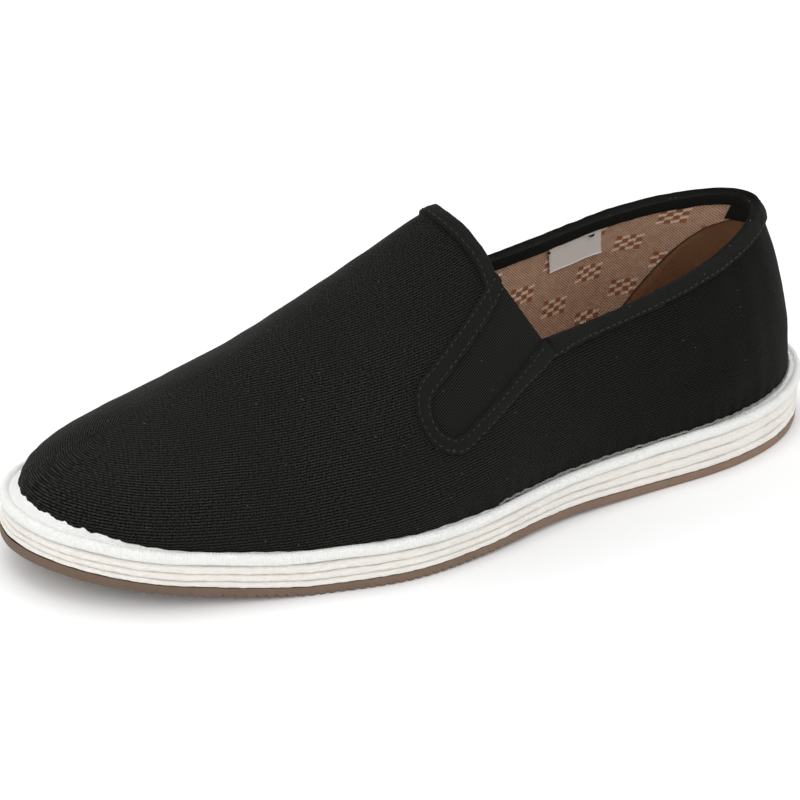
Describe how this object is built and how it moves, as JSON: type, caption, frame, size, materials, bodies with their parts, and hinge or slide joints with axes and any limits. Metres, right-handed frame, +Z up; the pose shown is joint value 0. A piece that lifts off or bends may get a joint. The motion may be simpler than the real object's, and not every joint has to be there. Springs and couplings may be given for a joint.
{
  "type": "chinese cloth shoe",
  "caption": "Left slip-on cloth shoe with a black twill upper, elastic side gussets and a white layered cloth sole on tan rubber.",
  "frame": {"origin": "on the floor, under the middle of the shoe's box", "axes": "+X from heel to toe, +Y to the wearer's left (the outer side of this left shoe), +Z up"},
  "size_m": [0.2798, 0.1036, 0.0887],
  "materials": {
    "tan_rubber": "matt moulded rubber",
    "white_cloth": "fuzzy layered cotton",
    "white_cord": "fine ribbed cotton edging",
    "brown_sock": "brown cotton",
    "black_twill": "matt cotton twill with a figured tan lining",
    "black_elastic": "ribbed elastic",
    "black_tape": "folded cotton tape",
    "white_label": "bare woven label"
  },
  "bodies": {
    "root": {"outsole": "tan_rubber", "midsole_layer_1": "white_cloth", "midsole_layer_2": "white_cloth", "midsole_layer_3": "white_cloth", "welt": "white_cord", "insole": "brown_sock", "upper": "black_twill", "gore_lateral": "black_elastic", "gore_medial": "black_elastic", "gore_tape_lateral": "black_tape", "gore_tape_medial": "black_tape", "collar_tape": "black_tape", "vamp_tape": "black_tape", "size_label": "white_label"}
  },
  "joints": []
}
